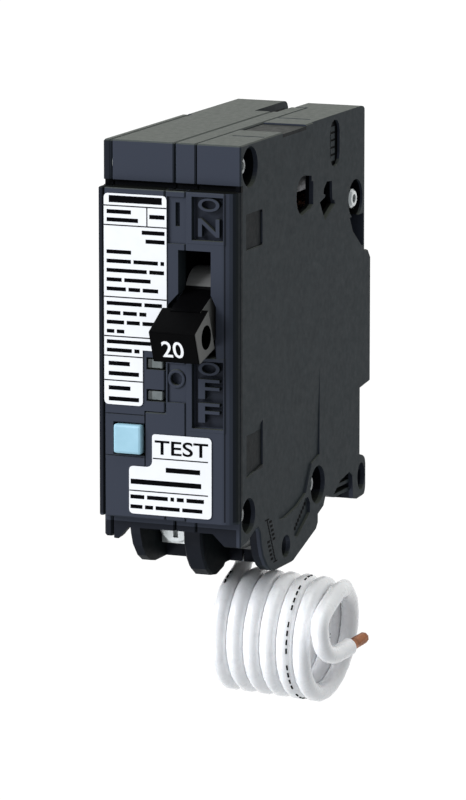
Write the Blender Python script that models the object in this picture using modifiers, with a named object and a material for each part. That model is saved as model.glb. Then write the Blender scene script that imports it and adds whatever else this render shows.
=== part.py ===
"""Plug-on combination circuit breaker, one inch wide, with a coiled neutral pigtail.

Every size below is in millimetres. Places are case coordinates: X from the left side, Y back from the
shoulder that meets the panel's cover, Z up from the top face. One empty, the datum, carries every part
and puts the middle of the rear seat at the world's origin.
"""
from math import atan2, cos, degrees, hypot, pi, radians, sin, tan

import bmesh
import bpy
from mathutils import Matrix, Vector

MM = 0.001
NAME = "combination_breaker"

# Case
WIDTH = 25.4
DEPTH = 60.0
SEAT_DEPTH = 61.4
SEAT_TOP, SEAT_BOTTOM = -27.7, -50.3
GAP = 0.3
WALL = 1.5
SIDE_WALL = 1.2
EDGE = 0.35
COVER_THICKNESS = 1.5
COVER_LENGTH = 34.8
REAR_INSET = 0.8
REAR_RIGHT = WIDTH - 0.35
REAR_ROUND = 1.2
SEAM_LEFT = 13.1
SEAM_RIGHT = 17.1
BAY_TOP = -65.3
BAY_BACK = 21.0
EAR_BOTTOM = -76.3
LEFT_EAR = (REAR_INSET, 2.7)
MIDDLE_EAR = (11.3, 14.7)
RIGHT_EAR = (23.3, WIDTH)
SKIRT_BOTTOM = -67.2
LEG_BOTTOM = -69.4

# Nose, the raised front that passes through the panel's cover
NOSE = 2.2
NOSE_TOP, NOSE_BOTTOM = -7.9, -65.0
NOSE_SEAM_LEFT = 12.3
NOSE_SEAM_RIGHT = 16.1
NOSE_FLAT_END = 22.9
NOTCH_LEFT = 8.5
NOTCH_TOP, NOTCH_BOTTOM = -46.2, -60.0

# Stab slot in the rear of the top
SLOT_LEFT, SLOT_RIGHT = 10.0, 14.35
SLOT_FRONT = 43.9
SLOT_FLOOR = -21.5
BASE_END = 51.0

# Rivets: (y, z) of each one, and the radius of its counterbore
RIVETS = {
    "front_top_rivet": (4.1, -4.0),
    "rear_top_rivet": (54.6, -16.3),
    "front_bottom_rivet": (3.5, -64.3),
    "rear_bottom_rivet": (35.8, -64.7),
}
COUNTERBORE = {
    "front_top_rivet": 3.5,
    "rear_top_rivet": 3.5,
    "front_bottom_rivet": 3.1,
    "rear_bottom_rivet": 3.4,
}
COUNTERBORE_DEPTH = 2.6
RIVET_SHANK = 1.25
RIVET_HEAD = 1.75
RIVET_BORE = 0.8
RIVET_DEPTH = 1.45
REAR_TOP_RIVET_DEPTH = 0.6

# Handle
PIVOT = (5.5, -27.2)
HANDLE_TILT = 21.5
DRUM_RADIUS = 5.5
NECK = (15.0, 20.6)
PADDLE = (13.2, 21.8)
PADDLE_START, PADDLE_END = 10.2, 17.1
HANDLE_SLOT = (14.8, 20.8)
SLOT_MOUTH = (12.9, 21.8)
HANDLE_SLOT_TOP, HANDLE_SLOT_BOTTOM = -18.0, -36.4

# Contact arm, on the handle's inner end
ARM_OFFSET = 7.0
ARM_LENGTH = 19.7
ARM_OPEN, ARM_CLOSED = 60.0, 40.4
ARM_X = (17.3, 18.3)

# Trip lever, armature and bimetal
LEVER_PIVOT = (44.0, -30.0)
LEVER_X = (21.4, 22.4)
ARMATURE_PIVOT = (36.7, -45.5)
SOLENOID = (6.2, -54.0)
STRAP_TOP = -59.4
SPRING_X = 19.9

# Terminals
TERMINAL_X = (7.0, 18.85)
TERMINAL_Z = -69.5
SCREW_HEAD = 3.3

# Front parts
BUTTON = ((3.0, 8.2), (-53.8, -48.7))
WINDOW_X = (9.2, 12.0)
WINDOW_Z = (-37.9, -43.4)
WINDOW_HEIGHT = 1.5

# Neutral wire
WIRE = 3.1
COPPER = 1.7
COIL_CENTRE = (20.0, -87.9)
COIL_RADIUS = 9.43
COIL_PITCH = 3.095
COIL_DROP = -0.157
COIL_START = 16.9
COIL_TURNS = 5.3
TAIL_ROUTE = [
    (35.7, 26.5, -82.0), (35.7, 22.5, -79.8), (35.7, 16.0, -79.5), (35.8, 11.4, -83.0), (36.0, 10.6, -87.0),
    (36.2, 12.2, -89.2), (36.5, 15.0, -90.1), (36.9, 17.6, -90.1), (37.3, 20.3, -89.8),
]
TIP_ROUTE = [(37.35, 20.6, -89.77), (37.8, 25.9, -89.6)]

ORIGIN = (WIDTH / 2, SEAT_DEPTH, (SEAT_TOP + SEAT_BOTTOM) / 2)

COLOURS = {
    "case_plastic": ((0.035, 0.040, 0.048), 0.0, 0.55),
    "handle_plastic": ((0.010, 0.010, 0.012), 0.0, 0.45),
    "label": ((0.86, 0.87, 0.88), 0.0, 0.45),
    "button": ((0.36, 0.60, 0.72), 0.0, 0.40),
    "light_pipe": ((0.62, 0.66, 0.66), 0.0, 0.25),
    "zinc": ((0.66, 0.67, 0.68), 1.0, 0.35),
    "steel": ((0.42, 0.43, 0.45), 1.0, 0.40),
    "copper": ((0.70, 0.32, 0.18), 1.0, 0.35),
    "silver": ((0.80, 0.80, 0.78), 1.0, 0.30),
    "board": ((0.05, 0.22, 0.10), 0.0, 0.50),
    "chip": ((0.02, 0.02, 0.02), 0.0, 0.45),
    "ceramic": ((0.10, 0.22, 0.48), 0.0, 0.40),
    "coil": ((0.45, 0.20, 0.06), 0.3, 0.45),
    "white_insulation": ((0.88, 0.89, 0.92), 0.0, 0.30),
}


# ---------------------------------------------------------------- scene and collections

def clear_scene():
    for obj in list(bpy.data.objects):
        bpy.data.objects.remove(obj, do_unlink=True)


def new_collection(name):
    collection = bpy.data.collections.new(name)
    bpy.context.scene.collection.children.link(collection)
    return collection


def make_datum():
    datum = bpy.data.objects.new("datum", None)
    datum.location = [-value * MM for value in ORIGIN]
    PARTS.objects.link(datum)
    return datum


def make_materials():
    made = {}
    for name, (colour, metallic, roughness) in COLOURS.items():
        material = bpy.data.materials.new(name)
        material.use_nodes = True
        shader = material.node_tree.nodes["Principled BSDF"]
        shader.inputs["Base Color"].default_value = (*colour, 1.0)
        shader.inputs["Metallic"].default_value = metallic
        shader.inputs["Roughness"].default_value = roughness
        made[name] = material
    return made


def place(obj, at=(0, 0, 0), tilt=0.0, parent=None):
    """Put an object at a place in case coordinates, turned about X by an angle in degrees."""
    obj.parent = parent or DATUM
    obj.location = [value * MM for value in at]
    obj.rotation_euler.x = radians(tilt)
    return obj


def new_part(name, mesh, material, at=(0, 0, 0), tilt=0.0, parent=None):
    mesh.materials.append(MATERIALS[material])
    obj = bpy.data.objects.new(name, mesh)
    PARTS.objects.link(obj)
    return place(obj, at, tilt, parent)


def new_tool(mesh, at=(0, 0, 0), tilt=0.0):
    """A solid that is only cut from a part or joined to it."""
    obj = bpy.data.objects.new("tool", mesh)
    obj.hide_render = True
    obj.display_type = "WIRE"
    TOOLS.objects.link(obj)
    return place(obj, at, tilt)


# ---------------------------------------------------------------- solid shapes

def finish_mesh(bm, name):
    bmesh.ops.recalc_face_normals(bm, faces=bm.faces)
    if bm.calc_volume(signed=True) < 0:
        bmesh.ops.reverse_faces(bm, faces=bm.faces)
    mesh = bpy.data.meshes.new(name)
    bm.to_mesh(mesh)
    bm.free()
    return mesh


def box_mesh(low, high):
    size = [(b - a) * MM for a, b in zip(low, high)]
    middle = [(a + b) / 2 * MM for a, b in zip(low, high)]
    bm = bmesh.new()
    bmesh.ops.create_cube(bm, size=1.0, matrix=Matrix.Translation(middle) @ Matrix.Diagonal((*size, 1)))
    return finish_mesh(bm, "box")


def cylinder_mesh(axis, low, high, radius, centre=(0, 0), sides=24, top_radius=None):
    """A cylinder or cone along "x", "y" or "z" from low to high, centred on the other two axes."""
    turn = {
        "x": Matrix.Rotation(pi / 2, 4, "Y"),
        "y": Matrix.Rotation(-pi / 2, 4, "X"),
        "z": Matrix.Identity(4),
    }[axis]
    middle = (low + high) / 2
    where = {
        "x": (middle, *centre),
        "y": (centre[0], middle, centre[1]),
        "z": (*centre, middle),
    }[axis]
    bm = bmesh.new()
    bmesh.ops.create_cone(
        bm, cap_ends=True, segments=sides, radius1=radius * MM,
        radius2=(radius if top_radius is None else top_radius) * MM, depth=(high - low) * MM,
        matrix=Matrix.Translation(Vector(where) * MM) @ turn,
    )
    return finish_mesh(bm, "cylinder")


def outline_mesh(outline, low, high, axis="x"):
    """A flat outline made thick: (y, z) points along "x", or (x, z) points along "y"."""
    curve = bpy.data.curves.new("outline", "CURVE")
    curve.dimensions = "2D"
    curve.fill_mode = "BOTH"
    curve.extrude = (high - low) / 2 * MM
    spline = curve.splines.new("POLY")
    spline.points.add(len(outline) - 1)
    spline.use_cyclic_u = True
    for point, (across, up) in zip(spline.points, outline):
        point.co = (across * MM, up * MM, 0, 1)
    middle = (low + high) / 2 * MM
    if axis == "x":
        turn = Matrix(((0, 0, 1, middle), (1, 0, 0, 0), (0, 1, 0, 0), (0, 0, 0, 1)))
    else:
        turn = Matrix(((1, 0, 0, 0), (0, 0, -1, middle), (0, 1, 0, 0), (0, 0, 0, 1)))
    return curve_to_mesh(curve, turn)


def curve_to_mesh(curve, matrix):
    """The closed mesh of a curve, with its caps welded on."""
    obj = bpy.data.objects.new("curve", curve)
    TOOLS.objects.link(obj)
    graph = bpy.context.evaluated_depsgraph_get()
    mesh = bpy.data.meshes.new_from_object(obj.evaluated_get(graph))
    bpy.data.objects.remove(obj)
    bm = bmesh.new()
    bm.from_mesh(mesh)
    bpy.data.meshes.remove(mesh)
    bmesh.ops.remove_doubles(bm, verts=bm.verts, dist=1e-6)
    bm.transform(matrix)
    return finish_mesh(bm, "solid")


def tube_mesh(points, diameter, resolution=2):
    """A round wire through points in case coordinates."""
    curve = bpy.data.curves.new("wire", "CURVE")
    curve.dimensions = "3D"
    curve.bevel_depth = diameter / 2 * MM
    curve.bevel_resolution = resolution
    curve.use_fill_caps = True
    spline = curve.splines.new("POLY")
    spline.points.add(len(points) - 1)
    for point, where in zip(spline.points, points):
        point.co = (*(value * MM for value in where), 1)
    return curve_to_mesh(curve, Matrix.Identity(4))


def turned_part(name, material, profile, steps=24, at=(0, 0, 0), closed=False):
    """A part turned about X: the profile holds (radius, x) points from the right end to the left."""
    mesh = bpy.data.meshes.new(name)
    points = [(radius * MM, 0, x * MM) for radius, x in profile]
    edges = [(i, i + 1) for i in range(len(points) - 1)]
    if closed:
        edges.append((len(points) - 1, 0))
    mesh.from_pydata(points, edges, [])
    obj = new_part(name, mesh, material, at)
    obj.rotation_euler.y = pi / 2
    screw = obj.modifiers.new("turn", "SCREW")
    screw.axis = "Z"
    screw.steps = steps
    screw.render_steps = steps
    screw.use_merge_vertices = True
    screw.merge_threshold = 1e-5
    return obj


def bevel(obj, width=EDGE, segments=1, angle=30):
    modifier = obj.modifiers.new("bevel", "BEVEL")
    modifier.width = width * MM
    modifier.segments = segments
    modifier.limit_method = "ANGLE"
    modifier.angle_limit = radians(angle)
    return obj


def combine(obj, operation, tools):
    for tool in tools:
        modifier = obj.modifiers.new(operation.lower(), "BOOLEAN")
        modifier.operation = operation
        modifier.solver = "EXACT"
        modifier.object = tool
    return obj


def cut(obj, *tools):
    return combine(obj, "DIFFERENCE", tools)


def join(obj, *tools):
    return combine(obj, "UNION", tools)


def box_tool(low, high):
    return new_tool(box_mesh(low, high))


def arc(centre, radius, start, end, steps):
    """Points of an arc, its angles in degrees from the first axis towards the second."""
    angles = [radians(start + (end - start) * i / steps) for i in range(steps + 1)]
    return [(centre[0] + radius * cos(a), centre[1] + radius * sin(a)) for a in angles]


def rounded_box(low, high, radius, steps=3):
    """Outline of a rectangle with round corners, from two opposite corners."""
    (left, bottom), (right, top) = low, high
    corners = [
        ((right - radius, top - radius), 0),
        ((left + radius, top - radius), 90),
        ((left + radius, bottom + radius), 180),
        ((right - radius, bottom + radius), 270),
    ]
    return [point for centre, start in corners for point in arc(centre, radius, start, start + 90, steps)]


# ---------------------------------------------------------------- case outlines, as (y, z)

def ear_front():
    """The front edge of a terminal ear, from its root down to the flat bottom."""
    return [
        (8.0, -67.2), (8.9, -68.2), (9.4, -70.4), (10.3, -72.7), (12.0, -74.7), (14.0, -75.9),
        (16.0, EAR_BOTTOM),
    ]


def middle_ear():
    """The longer, rounder ear between the two terminals."""
    rear_edge = BAY_BACK - GAP
    return [
        (8.0, -65.7), (8.0, -68.5), (8.3, -71.4), (9.2, -73.8), (10.8, -76.0), (12.9, -77.4), (15.6, -77.8),
        (18.2, -77.2), (19.9, -75.8), (rear_edge, -74.0), (rear_edge, -65.7),
    ]


def block_rear():
    """The rear edge of the block behind the terminals, from its bottom up to the foot."""
    return [(24.0, EAR_BOTTOM), (35.4, -72.5), (36.2, -71.6), (36.2, -70.0), (38.9, -69.0), (39.9, -67.3)]


def foot():
    """The hooked foot at the lower rear, from its front to its top."""
    lower, upper = arc((57.8, -69.2), 1.6, -75, 0, 3), arc((57.8, -64.9), 1.6, 0, 75, 3)
    return [(43.3, -68.4), (55.4, -70.9), *lower, *upper, (56.5, -62.9)]


def rear():
    """The rear edge, from above the foot up past the seat."""
    return [(56.5, -50.9), (SEAT_DEPTH, SEAT_BOTTOM), (SEAT_DEPTH, SEAT_TOP), (DEPTH, -26.0)]


def lower_outline():
    """The side of the case but for its rear top corner: front leg, notch, ear, block, foot and rear."""
    front = [(0, 0), (0, LEG_BOTTOM), (2.8, -69.0), (7.3, SKIRT_BOTTOM)]
    return [*front, *ear_front(), *block_rear(), *foot(), *rear()]


def side_outline(corner=1.8):
    """The whole side of the case, with its round rear top corner."""
    return [*lower_outline(), *arc((DEPTH - corner, -corner), corner, 0, 90, 4)]


def base_outline():
    """As the side, but cut short behind the stab slot."""
    return [
        *lower_outline(), (DEPTH, SLOT_FLOOR - GAP), (BASE_END, SLOT_FLOOR - GAP), (BASE_END, 0),
    ]


def cavity_front():
    return [
        (WALL, -WALL), (WALL, BAY_TOP + 1.3), (BAY_BACK + WALL, BAY_TOP + 1.3), (BAY_BACK + WALL, -74.0),
        (25.0, -74.0), (34.0, -70.5), (34.0, -62.0), (54.9, -62.0), (54.9, -49.3), (59.8, -48.9),
        (59.8, -29.0), (58.4, -26.5),
    ]


def cavity_outline():
    """The hollow of a case half, clear of the stab slot."""
    clear = SLOT_FRONT - WALL
    return [*cavity_front(), (58.4, SLOT_FLOOR - 2), (clear, SLOT_FLOOR - 2), (clear, -WALL)]


def cover_cavity_outline():
    """The hollow beside the stab slot, up to the rear top corner."""
    return [*cavity_front(), (58.4, -WALL)]


# ---------------------------------------------------------------- features shared by the case pieces

def hollow(outline, low, high, names=tuple(RIVETS)):
    """A cavity's cutter that leaves a boss standing around each rivet."""
    cavity = new_tool(outline_mesh(outline, low, high))
    bosses = [cylinder_mesh("x", low - 1, high + 1, COUNTERBORE[name] + 0.7, RIVETS[name]) for name in names]
    return cut(cavity, *(new_tool(boss) for boss in bosses))


def rivet_holes(names=tuple(RIVETS)):
    radius = RIVET_SHANK + GAP
    return [new_tool(cylinder_mesh("x", -1, WIDTH + 1, radius, RIVETS[name], 16)) for name in names]


def counterbores(low, high, names=tuple(RIVETS)):
    return [new_tool(cylinder_mesh("x", low, high, COUNTERBORE[name], RIVETS[name], 32)) for name in names]


def stab_slot():
    return box_tool((SLOT_LEFT, SLOT_FRONT, SLOT_FLOOR), (SLOT_RIGHT, DEPTH + 2, 1))


def wire_bay(low, high):
    """Room for the wire in front of a terminal, with a boss left around the rivet that crosses it."""
    bay = box_tool((low, 1.6, EAR_BOTTOM - 2), (high, BAY_BACK, BAY_TOP))
    boss = cylinder_mesh("x", low - 1, high + 1, RIVET_SHANK + GAP + 1.0, RIVETS["front_bottom_rivet"])
    return cut(bay, new_tool(boss))


def shoulder_groove():
    """Groove across the front, where the shoulder meets the nose."""
    return box_tool((-1, -1, NOSE_TOP + 0.03), (WIDTH - 0.9, 0.9, NOSE_TOP + 0.98))


def skirt_cut(outline):
    """Trims the front wall's lower edge to an (x, z) outline."""
    return new_tool(outline_mesh(outline, -1, 7.6, "y"))


def pigtail_hole():
    """The wire's way out through the bottom, slanting forwards."""
    points = [(16.5, 25.6, -70.0), (16.5, 24.6, -73.8), (16.6, 22.3, -78.2)]
    return new_tool(tube_mesh(points, WIRE + 4 * GAP, 3))


def screw_hole(x):
    """Hole in a bay's back wall for the terminal screw."""
    return new_tool(cylinder_mesh("y", BAY_BACK - 1, BAY_BACK + WALL + 1, 2.5, (x, TERMINAL_Z), 16))


def strap_window(x):
    """Window in a bay's ceiling for the terminal strap."""
    return box_tool((x - 2.3, 19.3, BAY_TOP - 1), (x + 2.3, 20.9, BAY_TOP + 2))


def finger_window():
    """Window between the two compartments for the solenoid's finger."""
    return box_tool((11.0, 31.5, SOLENOID[1] - 2), (15.5, 39.5, SOLENOID[1] + 2))


# ---------------------------------------------------------------- case pieces

def make_left_cover():
    leg = [(0, LEG_BOTTOM + 0.4), (1.6, LEG_BOTTOM + 0.2), (2.8, -68.4), (2.8, BAY_TOP)]
    outline = [(0, 0), *leg, (COVER_LENGTH, BAY_TOP), (COVER_LENGTH, 0)]
    cover = new_part("left_cover", outline_mesh(outline, 0, COVER_THICKNESS), "case_plastic")
    bevel(cover)
    nose = bevel(box_tool((0.03, -NOSE, NOSE_BOTTOM), (0.9, 0.6, NOSE_TOP)), 0.2)
    join(cover, nose)
    cut(
        cover, shoulder_groove(), *counterbores(-1, COVER_THICKNESS + 1, ("front_top_rivet",)),
        new_tool(cylinder_mesh("x", -1, COVER_THICKNESS + 1, RIVET_HEAD + 0.6, RIVETS["front_bottom_rivet"])),
    )
    return cover


def make_electronics_case():
    left = COVER_THICKNESS + GAP
    case = new_part("electronics_case", outline_mesh(side_outline(), REAR_INSET, SEAM_LEFT), "case_plastic")
    bevel(case)
    cut(
        case,
        box_tool((-1, -5, BAY_TOP - GAP), (left, COVER_LENGTH + GAP, 5)),
        box_tool((-1, -5, -80), (left, 7.7, 5)),
        skirt_cut([
            (4.5, SKIRT_BOTTOM), (3.1, -68.8), (2.6, -69.3), (2.6, -80), (14, -80), (14, SKIRT_BOTTOM),
        ]),
        wire_bay(LEFT_EAR[1], SEAM_LEFT + 1),
    )
    nose_plan = [
        (1.1, -NOSE), (NOSE_SEAM_LEFT, -NOSE), (NOSE_SEAM_LEFT, 0.6), (left + 0.2, 0.6), (left + 0.2, -GAP),
        (1.1, -GAP),
    ]
    join(case, bevel(new_tool(plan_mesh(nose_plan, NOSE_BOTTOM, NOSE_TOP)), 0.2))
    inner = SEAM_LEFT - SIDE_WALL
    (button_left, button_right), (button_bottom, button_top) = BUTTON
    cut(
        case,
        hollow(cavity_outline(), REAR_INSET + WALL, inner),
        box_tool((-1, WALL + 0.2, -63.5), (REAR_INSET + WALL + 1, 31.0, -1.8)),
        box_tool((NOTCH_LEFT, -NOSE - 1, NOTCH_BOTTOM), (NOSE_SEAM_LEFT + 1, -0.05, NOTCH_TOP)),
        box_tool(
            (button_left - GAP, -NOSE - 1, button_bottom - GAP),
            (button_right + GAP, WALL + 1, button_top + GAP),
        ),
        *(window_hole(z) for z in WINDOW_Z),
        stab_slot(), finger_window(), screw_hole(TERMINAL_X[0]), strap_window(TERMINAL_X[0]),
        *rivet_holes(("front_top_rivet", "front_bottom_rivet", "rear_bottom_rivet")),
        *counterbores(-1, REAR_INSET + COUNTERBORE_DEPTH, ("rear_bottom_rivet",)),
        *panel_lines(), shoulder_groove(),
    )
    return case


def window_hole(z):
    half = WINDOW_HEIGHT / 2 + GAP
    return box_tool((WINDOW_X[0] - GAP, -NOSE - 1, z - half), (NOSE_SEAM_LEFT + 0.3, WALL + 1, z + half))


def panel_lines():
    """Two shallow lines across the front, above and below the button."""
    return [box_tool((0, -NOSE - 1, z - 0.1), (NOTCH_LEFT + 1, 0.2 - NOSE, z + 0.1)) for z in (-47.0, -54.3)]


def handle_slot():
    """Opening for the handle: a narrow upper part and a wide mouth below."""
    (left, right), (mouth_left, mouth_right) = HANDLE_SLOT, SLOT_MOUTH
    top, bottom = HANDLE_SLOT_TOP, HANDLE_SLOT_BOTTOM
    flare_start, flare_end = -25.5, -27.5
    mouth = [
        (left, flare_start), (right, flare_start), (mouth_right, flare_end), (mouth_right, bottom + 0.1),
        (mouth_left, bottom + 0.1), (mouth_left, flare_end),
    ]
    return [
        box_tool((left, -NOSE - 1, bottom), (right, 2.2, top)),
        new_tool(outline_mesh(mouth, -NOSE - 1, -0.1, "y")),
    ]


def make_mechanism_base():
    left = SEAM_LEFT + GAP
    base = new_part("mechanism_base", outline_mesh(base_outline(), left, SEAM_RIGHT), "case_plastic")
    bevel(base)
    cut(
        base,
        box_tool((left - 1, -1, -80), (SEAM_RIGHT + 1, 7.6, SKIRT_BOTTOM)),
        wire_bay(MIDDLE_EAR[1], SEAM_RIGHT + 1),
    )
    edge, notch_left = NOSE_SEAM_LEFT + 0.15, NOTCH_LEFT + 0.15
    notch_top, notch_bottom = NOTCH_TOP - 0.15, NOTCH_BOTTOM + 0.15
    strip = [
        (NOSE_SEAM_RIGHT, NOSE_TOP), (edge, NOSE_TOP), (edge, notch_top), (notch_left, notch_top),
        (notch_left, notch_bottom), (edge, notch_bottom), (edge, NOSE_BOTTOM),
        (NOSE_SEAM_RIGHT, NOSE_BOTTOM),
    ]
    join(
        base,
        bevel(new_tool(outline_mesh(strip, -NOSE, -GAP, "y")), 0.2),
        box_tool((left + 0.2, -1.2, NOSE_BOTTOM + 0.2), (NOSE_SEAM_RIGHT - 0.2, 0.6, NOSE_TOP - 0.2)),
        bevel(new_tool(outline_mesh(middle_ear(), MIDDLE_EAR[0], MIDDLE_EAR[1] + 0.05))),
    )
    names = ("front_top_rivet", "front_bottom_rivet", "rear_bottom_rivet")
    floor = left + SIDE_WALL
    cut(
        base,
        hollow(cavity_outline(), floor, SEAM_RIGHT + 1, names),
        *handle_slot(), stab_slot(),
        box_tool((SLOT_RIGHT - 1, 46.2, -17.1), (SEAM_RIGHT - 0.5, 50.3, -14.6)),
        box_tool((15.9, 41.5, -17.0), (SEAM_RIGHT + 1, 50.2, -14.7)),
        new_tool(cylinder_mesh("x", left + 0.2, floor + 1, 1.8, PIVOT, 20)),
        new_tool(cylinder_mesh("x", left + 0.3, floor + 1, 1.5, LEVER_PIVOT, 16)),
        pigtail_hole(), finger_window(), screw_hole(TERMINAL_X[1]), strap_window(TERMINAL_X[1]),
        *rivet_holes(names), *strip_recesses(), shoulder_groove(),
    )
    return base


def strip_recesses():
    """Shallow recesses in the front strip: a slotted one at the top, a dimpled one by the windows."""
    face = 0.35 - NOSE
    left, right = NOSE_SEAM_LEFT + 0.5, NOSE_SEAM_RIGHT + 1
    return [
        box_tool((left, -NOSE - 1, -17.0), (right, face, -8.9)),
        box_tool((14.2, -NOSE - 1, -14.0), (15.0, -1.0, -9.9)),
        box_tool((left, -NOSE - 1, -44.4), (right, face, -37.6)),
        new_tool(cylinder_mesh("y", -NOSE - 1, -1.0, 1.1, (14.4, -40.3), 20)),
    ]


def plan_mesh(outline, low, high):
    """A plan outline, as (x, y), made thick along Z."""
    bm = bmesh.new()
    face = bm.faces.new([bm.verts.new((x * MM, y * MM, low * MM)) for x, y in outline])
    grown = bmesh.ops.extrude_face_region(bm, geom=[face], use_keep_orig=True)
    moved = [item for item in grown["geom"] if isinstance(item, bmesh.types.BMVert)]
    bmesh.ops.translate(bm, verts=moved, vec=(0, 0, (high - low) * MM))
    return finish_mesh(bm, "plan")


def cover_nose_plan(steps=6):
    """The cover's nose as (x, y): flat in front, and round towards the right side."""
    left, root = NOSE_SEAM_RIGHT + 0.15, SEAM_RIGHT + GAP + 0.2
    reach, depth = WIDTH - 0.1 - NOSE_FLAT_END, NOSE - 0.1
    angles = [radians(90 * i / steps) for i in range(steps + 1)]
    corner = [(NOSE_FLAT_END + reach * sin(a), -0.1 - depth * cos(a)) for a in angles]
    return [(left, -NOSE), *corner, (WIDTH - 0.1, 0.8), (root, 0.8), (root, -GAP), (left, -GAP)]


def pocket(low, high):
    """A legend pocket: its frame, and the recess inside it."""
    frame = bevel(box_tool((16.3, -NOSE - 0.04, low - 0.7), (23.6, -0.35, high + 0.7)), 0.15)
    return frame, box_tool((17.3, -NOSE - 1, low), (23.1, -NOSE + 1.0, high))


def make_mechanism_cover():
    left = SEAM_RIGHT + GAP
    body = outline_mesh(side_outline(2.6), SLOT_RIGHT + GAP, WIDTH)
    cover = new_part("mechanism_cover", body, "case_plastic")
    bevel(cover, 0.45)
    cut(
        cover,
        box_tool((SLOT_RIGHT - 1, -5, -80), (left, BASE_END + GAP, 5)),
        box_tool((SLOT_RIGHT - 1, BASE_END - 1, -80), (left, SEAT_DEPTH + 2, SLOT_FLOOR)),
        skirt_cut([
            (left - 1, SKIRT_BOTTOM), (20.2, SKIRT_BOTTOM), (22.5, LEG_BOTTOM), (22.5, -80), (left - 1, -80),
        ]),
        wire_bay(left - 1, RIGHT_EAR[0]),
    )
    on_frame, on_recess = pocket(-16.2, -8.7)
    off_frame, off_recess = pocket(-48.6, -36.9)
    join(cover, new_tool(plan_mesh(cover_nose_plan(), NOSE_BOTTOM, NOSE_TOP)), on_frame, off_frame)
    cavity = hollow(cover_cavity_outline(), SLOT_RIGHT + GAP + WALL, WIDTH - WALL)
    keep = [
        new_tool(cylinder_mesh("x", 22.9, WIDTH, 2.8, LEVER_PIVOT, 16)),
        new_tool(cylinder_mesh("x", 22.6, WIDTH, 3.2, PIVOT, 20)),
    ]
    cut(cavity, *keep)
    cut(
        cover, cavity, *handle_slot(), on_recess, off_recess,
        new_tool(cylinder_mesh("x", 22, WIDTH - 1.2, 1.5, LEVER_PIVOT, 16)),
        new_tool(cylinder_mesh("x", 22, WIDTH - 1.2, 1.8, PIVOT, 20)),
        pigtail_hole(), screw_hole(TERMINAL_X[1]), strap_window(TERMINAL_X[1]),
        *rivet_holes(), *counterbores(WIDTH - COUNTERBORE_DEPTH, WIDTH + 1),
        *counterbores(SLOT_RIGHT - 1, SLOT_RIGHT + GAP + 1.8, ("rear_top_rivet",)),
        *side_features(), *top_features(), shoulder_groove(), rear_rounding(), foot_slot(), lower_panel(),
    )
    return cover


def side_features():
    """Openings and recesses of the right side face."""
    round_opening = [*arc((28.9, -12.3), 3.5, 85, 255, 8), (31.9, -15.0), (33.3, -14.4), (33.4, -9.4)]
    stepped_opening = [
        (36.5, -14.5), (39.0, -13.9), (39.3, -12.5), (40.7, -11.4), (43.1, -11.6), (43.3, -14.6),
        (43.8, -15.7), (39.0, -18.0), (38.1, -16.9),
    ]
    rear_opening = [(51.4, -19.4), (53.0, -21.7), (57.8, -25.2), (58.6, -25.2), (58.6, -19.4)]
    lower_recess = [(2.6, -51.9), (10.0, -48.6), (10.0, -56.4), (2.6, -57.6)]
    inset = [
        (33.2, 1.0), (33.2, -10.2), (35.8, -12.4), (49.8, -17.2), (53.0, -22.7), (58.5, -26.3),
        (DEPTH + 3, -26.3), (DEPTH + 3, 1.0),
    ]
    upper_recess = rounded_box((2.4, -18.2), (9.8, -12.0), 0.5, 2)
    pad = rounded_box((42.2, -9.2), (46.8, -0.9), 2.2)
    foot_rear = [(57.0 + 1.8 * cos(a), -67.0 + 2.5 * sin(a)) for a in [2 * pi * i / 16 for i in range(16)]]
    label_pocket = [
        (24.5, -71.4), (24.5, -69.2), (29.9, -66.1), (31.2, -66.1), (32.1, -67.2), (32.1, -69.0),
        (26.4, -72.2), (25.2, -72.2),
    ]
    depths = [
        (inset, WIDTH - REAR_RIGHT), (round_opening, 3.0), (stepped_opening, 3.0), (rear_opening, 4.0),
        (upper_recess, 0.3), (lower_recess, 0.3), (pad, 1.0), (foot_rear, 3.0), (label_pocket, 0.5),
    ]
    recesses = [new_tool(outline_mesh(outline, WIDTH - depth, WIDTH + 1)) for outline, depth in depths]
    return [*recesses, new_tool(cylinder_mesh("x", WIDTH - 3.2, WIDTH + 1, 2.0, (20.8, -72.9), 20))]


def rear_rounding(steps=4):
    """Rounds the upright rear edge of the right side, above the seat."""
    middle_x, middle_y = REAR_RIGHT - REAR_ROUND, DEPTH - REAR_ROUND
    edge = arc((middle_x, middle_y), REAR_ROUND, 0, 90, steps)
    outline = [*edge, (middle_x, DEPTH + 3), (WIDTH + 2, DEPTH + 3), (WIDTH + 2, middle_y)]
    return new_tool(plan_mesh(outline, SEAT_TOP + 1.5, 2))


def foot_slot():
    """Hollow in the foot, open below, with two ribs standing in it."""
    outline = [(43.4, -73.0), (43.4, -68.0), (46.8, -66.0), (51.2, -65.2), (52.7, -66.1), (53.3, -73.0)]
    slot = new_tool(outline_mesh(outline, WIDTH - 2.6, WIDTH + 1))
    ribs = [box_tool((WIDTH - 4, 42, z - 0.3), (WIDTH - 0.7, 54, z + 0.3)) for z in (-67.1, -68.6)]
    return cut(slot, *ribs)


def lower_panel():
    """Shallow panel that deepens downwards and ends in a curved step above the terminals."""
    outline = [
        (10.2, -40.0), (10.2, -59.6), (11.5, -60.1), (14.6, -62.1), (16.2, -64.6), (17.3, -67.1),
        (18.1, -67.7), (20.5, -67.8), (26.0, -66.8), (30.2, -65.2), (31.6, -62.6), (33.0, -60.4),
        (36.6, -59.4), (36.6, -40.0),
    ]
    panel = new_tool(outline_mesh([(y, z + 44) for y, z in outline], 0, 3), (WIDTH, 0, -44))
    panel.rotation_euler.y = radians(1.1)
    return panel


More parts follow.
